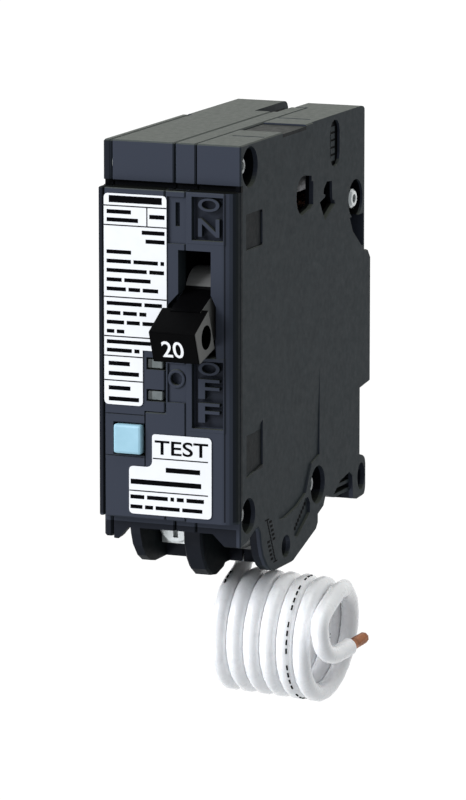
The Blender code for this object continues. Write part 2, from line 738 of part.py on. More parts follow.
def top_features():
    """Grip pad and cross lines of the top face."""
    left = SEAM_RIGHT
    return [
        box_tool((left, 19.0, -0.3), (WIDTH + 1, 30.0, 1)),
        box_tool((left + 1.8, 11.8, -0.4), (WIDTH - 0.6, 12.4, 1)),
        box_tool((left, 36.3, -0.4), (WIDTH - 1.9, 36.9, 1)),
    ]


# ---------------------------------------------------------------- rivets, labels and front parts

def make_rivet(name, y, z):
    """A tubular rivet: a bored shank between two rolled heads, each sunk in its counterbore."""
    right = WIDTH - (REAR_TOP_RIVET_DEPTH if name == "rear_top_rivet" else RIVET_DEPTH)
    left = {"rear_top_rivet": SLOT_RIGHT + GAP + 0.5, "rear_bottom_rivet": REAR_INSET + 1.3}.get(name, 0.5)
    head = 1.0
    profile = [
        (RIVET_BORE, right), (RIVET_HEAD - 0.4, right), (RIVET_HEAD, right - 0.4), (RIVET_HEAD, right - head),
        (RIVET_SHANK, right - head), (RIVET_SHANK, left + head), (RIVET_HEAD, left + head),
        (RIVET_HEAD, left + 0.4), (RIVET_HEAD - 0.4, left), (RIVET_BORE, left),
    ]
    return turned_part(name, "zinc", profile, 20, (0, y, z), closed=True)


def make_labels():
    back = -NOSE - 0.08
    front = back - 0.12
    left, right, step = 1.15, 12.75, 8.3
    outline = [
        *arc((left + 0.7, -45.4 + 0.7), 0.7, 180, 270, 3), *arc((step - 0.7, -45.4 + 0.7), 0.7, 270, 360, 3),
        (step, -35.7), (right, -35.7), *arc((right - 0.7, -9.6), 0.7, 0, 90, 3),
        *arc((left + 0.7, -9.6), 0.7, 90, 180, 3),
    ]
    new_part("rating_label", outline_mesh(outline, front, back, "y"), "label")
    low, high, inner = 5.7, 21.0, 10.0
    outline = [
        *arc((low + 0.7, -63.5), 0.7, 180, 270, 3), *arc((high - 0.7, -63.5), 0.7, 270, 360, 3),
        *arc((high - 0.7, -50.8), 0.7, 0, 90, 3), *arc((inner + 0.5, -50.6), 0.5, 90, 180, 3),
        *arc((inner - 1.0, -54.9), 1.0, 0, -90, 3), *arc((low + 0.7, -56.6), 0.7, 90, 180, 3),
    ]
    new_part("test_label", outline_mesh(outline, front, back, "y"), "label")


def make_button():
    """The test button, with its origin on its front face."""
    (left, right), (bottom, top) = BUTTON
    middle_x, middle_z = (left + right) / 2, (bottom + top) / 2
    half_x, half_z = (right - left) / 2, (top - bottom) / 2
    cap = box_mesh((-half_x, 0, -half_z), (half_x, 6.5, half_z))
    button = new_part("test_button", cap, "button", (middle_x, -NOSE - 0.9, middle_z))
    bevel(button, 0.45, 2)
    flange = box_tool((left - 0.9, 2.9, bottom - 0.7), (right + 0.9, 3.9, top + 0.7))
    stem = new_tool(cylinder_mesh("y", 3.5, 9.8, 1.0, (middle_x, middle_z), 16))
    join(button, flange, stem)
    return middle_x, middle_z


def make_button_spring(middle_x, middle_z):
    """The button's return spring, as the sleeve that its turns fill."""
    profile = [(2.0, 9.7), (2.0, 4.3), (1.4, 4.3), (1.4, 9.7)]
    spring = turned_part("button_spring", "steel", profile, 16, (middle_x, 0, middle_z), closed=True)
    spring.rotation_euler = (-pi / 2, 0, 0)


def make_window(name, z):
    half = WINDOW_HEIGHT / 2
    block = box_mesh((WINDOW_X[0], -NOSE - 0.05, z - half), (WINDOW_X[1] - 0.1, 2.0, z + half))
    return bevel(new_part(name, block, "light_pipe"), 0.12)


# ---------------------------------------------------------------- handle and switching mechanism

def make_handle():
    """Handle with its origin on the pivot, pointing along -Y before it is tilted to the off position."""
    drum = cylinder_mesh("x", *NECK, DRUM_RADIUS, sides=32)
    handle = new_part("handle", drum, "handle_plastic", (0, *PIVOT), HANDLE_TILT)
    root, tip = 3.8, 2.95
    neck_outline = [
        (0, -4.0), (0, 4.0), (-PADDLE_START, root), (-PADDLE_START - 1, root), (-PADDLE_START - 1, -root),
        (-PADDLE_START, -root),
    ]
    neck = new_tool(outline_mesh(neck_outline, *NECK), (0, *PIVOT), HANDLE_TILT)
    paddle_outline = [(-PADDLE_START, root), (-PADDLE_START, -root), (-PADDLE_END, -tip), (-PADDLE_END, tip)]
    paddle = bevel(new_tool(outline_mesh(paddle_outline, *PADDLE), (0, *PIVOT), HANDLE_TILT), 0.25, 2)
    shaft = new_tool(cylinder_mesh("x", 13.9, 23.6, 1.5, PIVOT, 20))
    cheek_outline = [(3, -2.0), (3, 2.0), *arc((ARM_OFFSET, 0), 1.9, 90, -90, 6)]
    cheeks = [
        new_tool(outline_mesh(cheek_outline, low, high), (0, *PIVOT), HANDLE_TILT)
        for low, high in ((15.2, ARM_X[0] - 0.4), (ARM_X[1] + 0.4, 20.4))
    ]
    join(handle, neck, paddle, shaft, *cheeks)
    clearance = new_tool(
        outline_mesh([(2.8, -4.5), (2.8, 4.5), (9.5, 4.5), (9.5, -4.5)], ARM_X[0] - 0.4, ARM_X[1] + 0.4),
        (0, *PIVOT), HANDLE_TILT,
    )
    lock_hole = new_tool(cylinder_mesh("x", 12, 23, 2.1, (-12.95, 0.0), 24), (0, *PIVOT), HANDLE_TILT)
    cut(handle, clearance, lock_hole)


def arm_pivot():
    """Where the contact arm pivots on the handle's inner end, in the off position."""
    tilt = radians(HANDLE_TILT)
    return (PIVOT[0] + ARM_OFFSET * cos(tilt), PIVOT[1] + ARM_OFFSET * sin(tilt))


def make_contact_arm():
    """Blade with its origin on its pivot, pointing along +Y before it is tilted to the open position."""
    at = (0, *arm_pivot())
    end = ARM_LENGTH - 1.5
    outline = [*arc((0, 0), 1.3, 90, 270, 6), (8, -2.2), (end, -0.5), (end, 0.5), (8, 1.8)]
    arm = new_part("contact_arm", outline_mesh(outline, *ARM_X), "copper", at, ARM_OPEN)
    flange = box_mesh((16.1, ARM_LENGTH - 2.2, -0.5), (19.5, ARM_LENGTH + 2.2, 0.5))
    join(arm, new_tool(flange, at, ARM_OPEN))
    tip = cylinder_mesh("z", -1.8, -0.8, 1.6, (17.8, ARM_LENGTH), 16)
    new_part("moving_contact", tip, "silver", at, ARM_OPEN)


def closed_contact():
    """Centre of the moving contact's flange when the breaker is on, and the direction it faces."""
    tilt = radians(-HANDLE_TILT)
    pivot = (PIVOT[0] + ARM_OFFSET * cos(tilt), PIVOT[1] + ARM_OFFSET * sin(tilt))
    reach = radians(ARM_CLOSED)
    centre = (pivot[0] + ARM_LENGTH * cos(reach), pivot[1] + ARM_LENGTH * sin(reach))
    return centre, (sin(reach), -cos(reach))


def make_line_side():
    """Fixed contact, its terminal strap and the jaw that grips the bus stab."""
    (y, z), facing = closed_contact()
    fixed = cylinder_mesh("z", -3.3, -2.2, 1.8, (17.8, 0), 16)
    new_part("fixed_contact", fixed, "silver", (0, y, z), ARM_CLOSED)
    depth = 3.6
    along = (-facing[1], facing[0])
    start = (y + facing[0] * depth - along[0] * 3, z + facing[1] * depth - along[1] * 3)
    bend = (y + facing[0] * depth + along[0] * 5.5, z + facing[1] * depth + along[1] * 5.5)
    level = -15.2
    upper = [start, bend, (bend[0] + 2, level), (50.0, level)]
    lower = [
        (50.0, level - 1.2), (bend[0] + 2.4, level - 1.2), (bend[0] + 0.7, bend[1] - 1.1),
        (start[0] + 0.8, start[1] - 0.9),
    ]
    strap = new_part("line_terminal", outline_mesh(upper + lower, 16.2, 19.6), "copper")
    join(strap, box_tool((SLOT_RIGHT - 0.05, 46.6, level - 1.2), (17, 50.0, level)))
    make_line_jaw()


def make_line_jaw():
    left, right, thick = SLOT_LEFT + 0.35, SLOT_RIGHT - 0.35, 0.7
    front, end, low, high = 45.5, 58.0, -17.5, -8.5
    jaw = new_part("line_jaw", box_mesh((left, front, low), (right, front + 0.8, high)), "copper")
    arms = []
    for x in (left, right - thick):
        outline = [
            (front, low), (end - 2, low), (end, low + 2), (end, high - 2), (end - 2, high), (front, high),
        ]
        arms.append(new_tool(outline_mesh(outline, x, x + thick)))
    join(jaw, *arms)
    bevel(jaw, 0.1)


def make_arc_chute():
    """Steel plates held by one fibre side."""
    chute = new_part("arc_chute", box_mesh((21.2, 30.5, -12.6), (21.9, 41.0, -3.4)), "steel")
    plates = [box_tool((16.0, 30.9 + 1.9 * i, -12.2), (21.4, 31.7 + 1.9 * i, -3.8)) for i in range(6)]
    join(chute, *plates)


def make_trip_lever():
    """Latched cradle, with its origin on its pivot."""
    y, z = LEVER_PIVOT
    outline = [
        (42.4, -27.4), (45.6, -27.4), (46.8, -30.0), (45.4, -32.4), (31.0, -41.0), (30.0, -44.4),
        (35.6, -49.2), (35.6, -51.6), (32.6, -51.6), (26.0, -46.6), (25.4, -42.4), (28.0, -38.4),
    ]
    local = [(a - y, b - z) for a, b in outline]
    lever = new_part("trip_lever", outline_mesh(local, *LEVER_X), "steel", (0, y, z))
    cut(lever, new_tool(cylinder_mesh("x", 20, 24, 1.45, LEVER_PIVOT, 16)))
    pin = cylinder_mesh("x", SEAM_LEFT + GAP + 0.5, 23.8, 1.2, LEVER_PIVOT, 16)
    new_part("trip_lever_pin", pin, "steel")


def make_toggle_spring():
    """Extension spring between the contact arm and the trip lever, as the rod that its turns fill."""
    pivot = arm_pivot()
    reach = radians(ARM_OPEN)
    start = (pivot[0] + 8.5 * cos(reach), pivot[1] + 8.5 * sin(reach))
    end = (27.6, -43.4)
    length = hypot(end[0] - start[0], end[1] - start[1])
    angle = degrees(atan2(end[1] - start[1], end[0] - start[0]))
    rod = cylinder_mesh("y", 0, length, 1.0, (SPRING_X, 0), 12)
    new_part("toggle_spring", rod, "steel", (0, *start), angle)


def make_thermal_trip():
    """Bimetal, magnet yoke, armature and the calibration screw."""
    new_part("bimetal", box_mesh((17.7, 40.8, STRAP_TOP + 0.3), (21.3, 41.7, -44.0)), "copper")
    yoke = new_part("magnet_yoke", box_mesh((16.2, 43.0, -58.6), (22.8, 44.2, -51.0)), "steel")
    join(yoke, *(box_tool((x, 39.6, -58.5), (x + 1.0, 43.5, -51.1)) for x in (16.25, 21.75)))
    y, z = ARMATURE_PIVOT
    plate = box_mesh((16.6, -0.5, -12.8), (23.2, 0.5, 0.6))
    armature = new_part("armature", plate, "steel", (0, y, z))
    pivot_rod = new_tool(cylinder_mesh("x", 16.0, 23.5, 0.8, ARMATURE_PIVOT, 12))
    join(armature, pivot_rod)
    screw = new_part("calibration_screw", cylinder_mesh("y", 44.5, 52.0, 1.2, (19.5, -56.0), 12), "steel")
    cut(screw, box_tool((18, 51.4, -56.3), (21, 52.5, -55.7)))


def make_contact_braid():
    """Flexible link from the contact arm to the top of the bimetal."""
    ends = [
        (16.3, 17.6, -23.5), (16.3, 22.0, -31.5), (16.5, 29.0, -35.0), (17.4, 36.0, -37.0),
        (18.6, 41.2, -42.8),
    ]
    new_part("contact_braid", tube_mesh(smooth_route(ends, 4), 1.4), "copper")


def smooth_route(points, steps):
    """Points of a smooth curve through the route's points (a Catmull-Rom spline)."""
    nodes = [Vector(p) for p in points]
    nodes = [nodes[0] * 2 - nodes[1], *nodes, nodes[-1] * 2 - nodes[-2]]
    route = []
    for a, b, c, d in zip(nodes, nodes[1:], nodes[2:], nodes[3:]):
        for i in range(steps):
            t = i / steps
            square, cube = 2 * a - 5 * b + 4 * c - d, 3 * b - a - 3 * c + d
            route.append(0.5 * (2 * b + (c - a) * t + square * t * t + cube * t ** 3))
    return route + [nodes[-2]]


# ---------------------------------------------------------------- terminals

def make_terminal(side, x, strap_name, strap_end):
    """Screw, clamp plate and strap of one terminal; its screw turns about the Y axis."""
    head = cylinder_mesh("y", 0, 2.4, SCREW_HEAD, sides=32)
    screw = new_part(f"{side}_terminal_screw", head, "zinc", (x, 14.9, TERMINAL_Z))
    bevel(screw, 0.4, 2)
    shank = new_tool(cylinder_mesh("y", 17.0, 24.2, 1.6, (x, TERMINAL_Z), 16))
    join(screw, shank)
    slot = box_tool((x - 5, 14.0, TERMINAL_Z - 0.45), (x + 5, 15.9, TERMINAL_Z + 0.45))
    cross = box_tool((x - 0.45, 14.0, TERMINAL_Z - 2.2), (x + 0.45, 15.9, TERMINAL_Z + 2.2))
    cut(screw, slot, cross)
    plate = new_part(f"{side}_clamp_plate", box_mesh((x - 3.7, 17.6, -73.3), (x + 3.7, 18.7, -65.7)), "zinc")
    cut(plate, new_tool(cylinder_mesh("y", 17, 20, 2.3, (x, TERMINAL_Z), 16)))
    outline = [
        (19.6, -73.2), (20.6, -73.2), (20.6, STRAP_TOP - 1), (strap_end, STRAP_TOP - 1),
        (strap_end, STRAP_TOP), (19.6, STRAP_TOP),
    ]
    strap = new_part(strap_name, outline_mesh(outline, x - 2.0, x + 2.0), "copper")
    cut(strap, new_tool(cylinder_mesh("y", 19, 21, 1.95, (x, TERMINAL_Z), 16)))


# ---------------------------------------------------------------- electronics

def make_circuit_board():
    outline = [
        (9.0, -3.0), (41.5, -3.0), (41.5, -24.5), (57.0, -28.0), (57.0, -47.5), (52.5, -50.0), (52.5, -58.8),
        (10.0, -58.8), (10.0, -56.0), (4.2, -54.6), (4.2, -10.0), (9.0, -9.0),
    ]
    board = new_part("circuit_board", outline_mesh(outline, 10.2, 11.4), "board")
    cut(board, box_tool((9, 31.0, SOLENOID[1] - 2.5), (12, 40.0, SOLENOID[1] + 2.5)))
    chip = box_mesh((8.4, 26.0, -34.0), (9.9, 33.0, -27.0))
    bevel(new_part("processor_chip", chip, "chip"), 0.15)
    new_part("varistor", cylinder_mesh("x", 5.6, 9.9, 4.6, (31.0, -17.0)), "ceramic")
    can = new_part("filter_capacitor", cylinder_mesh("x", 2.6, 9.9, 3.4, (17.5, -19.0)), "chip")
    bevel(can, 0.4, 1)
    profile = [(7.4, 9.9), (7.4, 3.4), (3.2, 3.4), (3.2, 9.9)]
    turned_part("current_transformer", "coil", profile, 32, (0, 46.5, -38.0), closed=True)
    for name, z in zip(("arc_fault_lamp", "ground_fault_lamp"), WINDOW_Z):
        lamp = box_mesh((WINDOW_X[0] + 0.6, 2.4, z - 0.6), (WINDOW_X[1] - 0.6, 3.6, z + 0.6))
        bevel(new_part(name, lamp, "light_pipe"), 0.1)


def make_solenoid():
    """Trip solenoid along Y, its plunger with a finger that reaches the armature, and its spring."""
    x, z = SOLENOID
    frame = new_part("trip_solenoid", cylinder_mesh("y", 13.0, 27.0, 3.2, (x, z)), "coil")
    flanges = [box_tool((x - 3.6, y, z - 3.4), (x + 3.6, y + 1.0, z + 3.4)) for y in (12.6, 26.4)]
    join(frame, *flanges)
    cut(frame, new_tool(cylinder_mesh("y", 11, 28, 1.5, (x, z), 16)))
    plunger = new_part("solenoid_plunger", cylinder_mesh("y", 14.0, 35.2, 1.2, (x, z), 16), "steel")
    disc = new_tool(cylinder_mesh("y", 31.6, 32.6, 2.6, (x, z), 16))
    finger = box_tool((x, 34.6, z - 0.8), (20.0, 35.9, z + 0.8))
    join(plunger, disc, finger)
    profile = [(2.2, 31.3), (2.2, 27.7), (1.6, 27.7), (1.6, 31.3)]
    spring = turned_part("plunger_spring", "steel", profile, 16, (x, 0, z), closed=True)
    spring.rotation_euler = (-pi / 2, 0, 0)


def make_test_contact(middle_x, middle_z):
    """Leaf under the test button, with its origin at the root where it bends."""
    root = (middle_x - 2.0, 10.3, middle_z + 4.0)
    new_part("test_contact", box_mesh((0, -0.2, -5.6), (6.3, 0.2, 0)), "copper", root)


# ---------------------------------------------------------------- neutral wire

def coil_point(turn):
    """Centre of the wire at a turn of the coil; turn 0 is the front of the first one."""
    angle = 2 * pi * turn
    y = COIL_CENTRE[0] - COIL_RADIUS * cos(angle)
    drop = -COIL_RADIUS * sin(angle)
    return (COIL_START + COIL_PITCH * turn, y, COIL_CENTRE[1] + drop + COIL_DROP * turn)


def make_pigtail():
    exit_points = [(16.5, 24.7, -73.4), (16.55, 23.9, -75.4), (16.6, 22.6, -77.3), (16.5, 20.6, -78.5)]
    quarter = [coil_point(-0.25 + 0.06 * i) for i in range(1, 4)]
    route = smooth_route([*exit_points, *quarter], 3)
    new_part("pigtail_lead", tube_mesh(route, WIRE), "white_insulation")
    ring_start, ring_end = COIL_START + 1.85, COIL_START + COIL_PITCH * COIL_TURNS
    outer, inner = COIL_RADIUS + WIRE / 2, COIL_RADIUS - WIRE / 2
    profile = [(outer, ring_end), (outer, ring_start), (inner, ring_start), (inner, ring_end)]
    tilt = atan2(-COIL_DROP, COIL_PITCH)
    middle = (0, COIL_CENTRE[0], COIL_CENTRE[1] + COIL_START * tan(tilt))
    ring = turned_part("pigtail_coil", "white_insulation", profile, 32, middle, closed=True)
    ring.rotation_euler.y = pi / 2 + tilt
    new_part("pigtail_tail", tube_mesh(smooth_route(TAIL_ROUTE, 2), WIRE), "white_insulation")
    new_part("pigtail_bare_tip", tube_mesh(TIP_ROUTE, COPPER), "copper")


# ---------------------------------------------------------------- assembly

def build():
    make_left_cover()
    make_electronics_case()
    make_mechanism_base()
    make_mechanism_cover()
    for name, (y, z) in RIVETS.items():
        make_rivet(name, y, z)
    make_labels()
    middle_x, middle_z = make_button()
    make_button_spring(middle_x, middle_z)
    make_test_contact(middle_x, middle_z)
    for name, z in zip(("arc_fault_window", "ground_fault_window"), WINDOW_Z):
        make_window(name, z)
    make_handle()
    make_contact_arm()
    make_line_side()
    make_arc_chute()
    make_trip_lever()
    make_toggle_spring()
    make_thermal_trip()
    make_contact_braid()
    make_terminal("left", TERMINAL_X[0], "neutral_strap", 44.0)
    make_terminal("right", TERMINAL_X[1], "load_strap", 43.6)
    make_circuit_board()
    make_solenoid()
    make_pigtail()


clear_scene()
PARTS = new_collection(NAME)
TOOLS = new_collection("tools")
DATUM = make_datum()
MATERIALS = make_materials()
build()
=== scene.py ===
from math import cos, pi, radians, sin

import bmesh
import bpy
from mathutils import Matrix, Vector


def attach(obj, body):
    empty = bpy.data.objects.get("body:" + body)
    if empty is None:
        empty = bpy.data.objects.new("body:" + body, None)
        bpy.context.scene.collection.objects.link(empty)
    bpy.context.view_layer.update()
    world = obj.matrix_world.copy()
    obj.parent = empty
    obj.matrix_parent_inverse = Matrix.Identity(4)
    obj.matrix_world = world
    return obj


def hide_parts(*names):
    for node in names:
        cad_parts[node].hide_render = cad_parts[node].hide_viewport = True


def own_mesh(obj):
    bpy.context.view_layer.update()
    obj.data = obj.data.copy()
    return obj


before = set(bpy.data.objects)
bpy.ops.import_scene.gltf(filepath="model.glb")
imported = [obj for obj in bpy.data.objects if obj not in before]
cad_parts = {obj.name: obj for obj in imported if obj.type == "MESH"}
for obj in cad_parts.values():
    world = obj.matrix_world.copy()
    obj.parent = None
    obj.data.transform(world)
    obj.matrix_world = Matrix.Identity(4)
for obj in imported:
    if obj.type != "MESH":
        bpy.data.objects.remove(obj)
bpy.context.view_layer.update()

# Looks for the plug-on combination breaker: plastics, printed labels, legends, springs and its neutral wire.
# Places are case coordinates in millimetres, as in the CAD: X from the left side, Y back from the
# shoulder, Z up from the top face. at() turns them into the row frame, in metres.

MM = 0.001
ORIGIN = Vector((12.7, 61.4, -39.0))

# Camera
EYE = (390.27, -889.16, 131.71)
AZIMUTH, ELEVATION = 22.389, 10.297
LENS, SENSOR = 258.43, 36.0
SHIFT_Y = -0.0044

# Sheet behind the object: its left, right, low and high edges and its distance, in metres
SHEET = (-6.4, 4.0, -4.8, 4.8, 2.2)

# Neutral wire: the CAD's coil drawn turn by turn, from FIRST_TURN on, between a lead-in and a curled end
WIRE = 3.1
COPPER = 2.1
COIL_CENTRE = (20.0, -87.9)
COIL_RADIUS = 9.43
COIL_PITCH = 3.095
COIL_DROP = -0.157
COIL_LEAN = 0.071
COIL_START = 16.9
COIL_TURNS = 5.9
FIRST_TURN = -0.15
POINTS_PER_TURN = 24
LEAD_IN = [(16.5, 24.7, -73.4), (16.55, 23.9, -75.4), (16.6, 22.6, -77.3), (16.5, 20.6, -78.5)]
CURLED_END = [
    (35.7, 11.6, -83.0), (36.0, 10.6, -86.6), (36.3, 12.2, -89.1), (36.6, 14.9, -90.1), (36.9, 17.6, -90.1),
    (37.3, 20.6, -89.8),
]
BARE_LENGTH = 6.3
STRANDS = 9

# Print on the wire: first and last turn of each row, and how far round the wire it sits, in radians;
# every word is four dashes and a gap as long as one
WIRE_PRINT = [(3.72, 4.32, 0.55), (-0.21, -0.13, -0.3), (4.43, 4.57, 2.9)]
DASHES_PER_TURN = 44
DASHES_PER_WORD = 5
DASH_WIDTH = 0.32

# Handle: its axis, its tilt at rest and the reach of its end face
PIVOT = (5.5, -27.2)
HANDLE_TILT = 21.5
HANDLE_REACH = 17.1

# Labels and legends on the front: their depths, the print's thickness and the width of its rules
LABEL_FACE = -2.4
INK = 0.025
RULE = 0.2
POCKET_FLOOR = -1.25
LEGEND_FACE = -2.1
LEGEND_LEFT, LEGEND_RIGHT = 18.45, 22.35
DIMPLE = (14.4, -40.3)

# Right side face, the floor of its oblong pad and of the pocket on its ear; rows of print as (y, z) ends
SIDE_FACE = 25.4
PAD_FLOOR = SIDE_FACE - 1.0
EAR_POCKET_FLOOR = SIDE_FACE - 0.5
EAR_POCKET_PRINT = ((25.8, -71.1), (31.2, -67.0))
GAUGE = ((12.0, -66.6), (15.9, -74.6))
GAUGE_PRINT = [((13.4, -66.8), (15.4, -70.9)), ((12.5, -70.2), (14.5, -74.3))]

# Colours of the case's sides, of the painted light on its front (bluer) and top (paler), of the handle, and
# of the painted sheen on the handle's side faces and drum
CHARCOAL = (0.029, 0.037, 0.042)
FRONT_LIT_CHARCOAL = (0.039, 0.045, 0.062)
TOP_LIT_CHARCOAL = (0.075, 0.083, 0.073)
BLACK = (0.0015, 0.0015, 0.0018)
PAINTED_SHEEN_GREY = (0.17, 0.17, 0.165)

# Places where a colour changes, as two opposite corners in case coordinates: the painted lit band on the
# handle's drum, the pipe's darker left end, and painted shade on zinc deep inside the case
LIT_DRUM = ((15, -2.2, -24.5), (23, 8, -12))
PIPE_ENDS = ((8, -3, -50), (10.0, 3, -30))
PAINTED_SHADE_ON_METAL = [((0.9, -3, -70), (21.0, 60, -0.2)), ((15, 8, -80), (22.5, 30, -60))]

# Places where the case is darker, as two corners in case coordinates and a shade: painted shade in the groove
# under the shoulder, the side's two shallow recesses, the ON and OFF pockets, under the bottom, inside the
# case with its rivet holes, and in the groove and on the rounded edge at the nose's right; also darker along
# the left cover's front strip and on the top pad
PAINTED_SHADE_AND_DARK_ZONES = [
    ((-1, -3, -7.95), (25.5, 0.95, -6.85), 0.08),
    ((24.6, 2.4, -18.2), (25.6, 9.8, -12.0), 0.4),
    ((24.6, 2.6, -57.0), (25.6, 10.0, -50.2), 0.4),
    ((-0.2, -2.5, -64.6), (1.2, 1.5, -0.2), 0.35),
    ((17.6, -1.9, -16.2), (23.4, -1.0, -8.4), 0.5),
    ((17.6, -1.9, -48.4), (23.4, -1.0, -36.6), 0.5),
    ((-1, -3, -80.0), (24.6, 60, -66.2), 0.35),
    ((0.9, 1.2, -66.2), (24.6, 58.2, -1.2), 0.1),
    ((17.3, 19.0, -0.9), (25.5, 30.0, 0.2), 0.25),
    ((23.2, -3, -64.6), (23.5, -1.7, -7.9), 0.3),
    ((24.6, -3, -64.6), (25.6, 0.9, -7.9), 0.5),
]

# Ends of the springs: between the contact arm and the trip lever, and round the plunger
TOGGLE_SPRING = ((19.9, 16.26, -17.27), (19.9, 27.6, -43.4))
PLUNGER_SPRING = ((6.2, 27.85, -54.0), (6.2, 31.15, -54.0))


def at(x, y, z):
    return (Vector((x, y, z)) - ORIGIN) * MM


# ---------------------------------------------------------------- camera, light and backdrop

def make_camera():
    data = bpy.data.cameras.new("camera")
    data.lens = LENS
    data.sensor_width = SENSOR
    data.shift_y = SHIFT_Y
    data.clip_start, data.clip_end = 0.01, 20
    camera = bpy.data.objects.new("camera", data)
    azimuth, elevation = radians(AZIMUTH), radians(ELEVATION)
    back = Vector((sin(azimuth) * cos(elevation), -cos(azimuth) * cos(elevation), sin(elevation)))
    camera.rotation_mode = "QUATERNION"
    camera.rotation_quaternion = (-back).to_track_quat("-Z", "Y")
    camera.location = at(*EYE)
    bpy.context.scene.collection.objects.link(camera)
    bpy.context.scene.camera = camera


def area_light(name, location, target, size, power, colour):
    data = bpy.data.lights.new(name, "AREA")
    data.shape = "RECTANGLE"
    data.size, data.size_y = size
    data.energy = power
    data.color = colour
    light = bpy.data.objects.new(name, data)
    light.location = location
    light.rotation_mode = "QUATERNION"
    light.rotation_quaternion = (Vector(target) - Vector(location)).to_track_quat("-Z", "Y")
    bpy.context.scene.collection.objects.link(light)


def make_studio():
    """A glowing white sheet behind the object, a dim room, and soft boxes in front of it."""
    make_backdrop()
    world = bpy.data.worlds.new("studio")
    world.use_nodes = True
    background = world.node_tree.nodes["Background"]
    background.inputs["Color"].default_value = (0.93, 0.97, 1.0, 1)
    background.inputs["Strength"].default_value = 0.42
    bpy.context.scene.world = world
    bpy.context.scene.view_settings.view_transform = "Standard"
    area_light("key_box", (-0.75, -0.75, 0.55), (0, -0.06, -0.01), (0.5, 0.6), 11.5, (0.96, 0.98, 1.03))
    area_light("low_box", (-0.5, -0.75, -0.5), (0.01, -0.045, -0.05), (0.5, 0.4), 4.0, (0.97, 0.98, 1.0))
    area_light("top_box", (0.0, -0.15, 0.8), (0, -0.03, 0), (0.5, 0.5), 3.0, (1.0, 1.0, 0.96))


def make_backdrop():
    bm = bmesh.new()
    left, right, low, high, behind = SHEET
    corners = ((left, low), (right, low), (right, high), (left, high))
    bm.faces.new([bm.verts.new((x, behind, z)) for x, z in corners])
    mesh = bpy.data.meshes.new("backdrop")
    bm.to_mesh(mesh)
    bm.free()
    backdrop = bpy.data.objects.new("backdrop", mesh)
    bpy.context.scene.collection.objects.link(backdrop)
    mesh.materials.append(glowing_sheet())


# ---------------------------------------------------------------- materials

